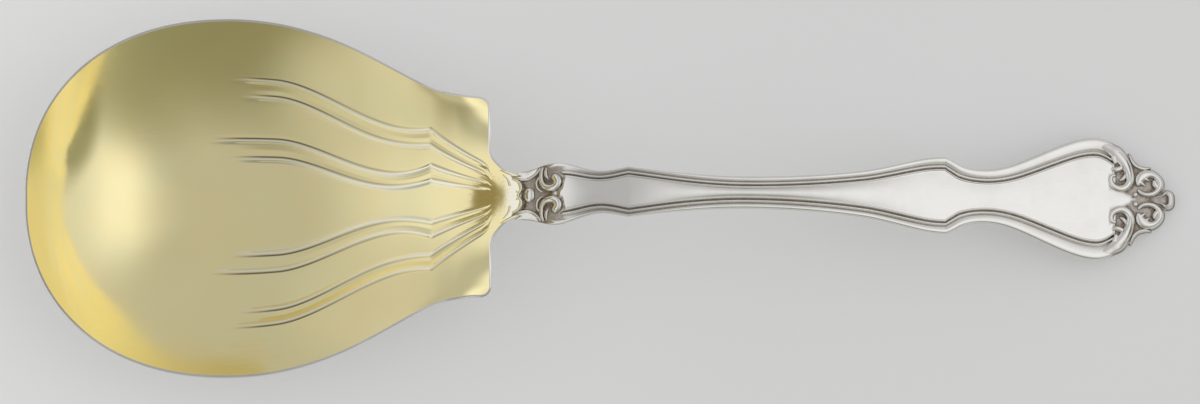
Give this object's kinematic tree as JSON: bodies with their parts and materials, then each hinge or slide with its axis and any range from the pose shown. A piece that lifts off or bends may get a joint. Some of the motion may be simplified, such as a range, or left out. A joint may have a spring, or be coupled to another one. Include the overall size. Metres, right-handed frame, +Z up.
{
  "type": "serving spoon",
  "caption": "Silver serving spoon with a wide, fluted and gilded bowl, an arched threaded handle and scroll ornament at its neck and tip.",
  "frame": {"origin": "middle of the bounding box, on the table that the spoon lies on", "axes": "+X from the tip of the bowl to the tip of the handle, +Y to the left of a person looking along +X, +Z up"},
  "size_m": [0.2298, 0.072, 0.0254],
  "materials": {
    "silver": "polished silver, darkened in its recesses",
    "gilding": "pale gold wash, polished and finely scratched",
    "solder": "silver solder, hidden in the joint"
  },
  "bodies": {
    "root": {"bowl": "silver", "bowl_gilding": "gilding", "handle": "silver", "heel_solder": "solder", "heel_crest": "gilding", "heel_leaf_left": "gilding", "heel_leaf_right": "gilding", "neck_bead": "silver", "neck_crescent_left": "silver", "neck_crescent_right": "silver", "neck_scroll_left": "silver", "neck_scroll_right": "silver", "tip_volute_left": "silver", "tip_volute_right": "silver", "tip_scroll_left": "silver", "tip_scroll_right": "silver", "tip_thorn_left": "silver", "tip_thorn_right": "silver", "tip_pearls": "silver", "tip_bead": "silver"}
  },
  "joints": []
}
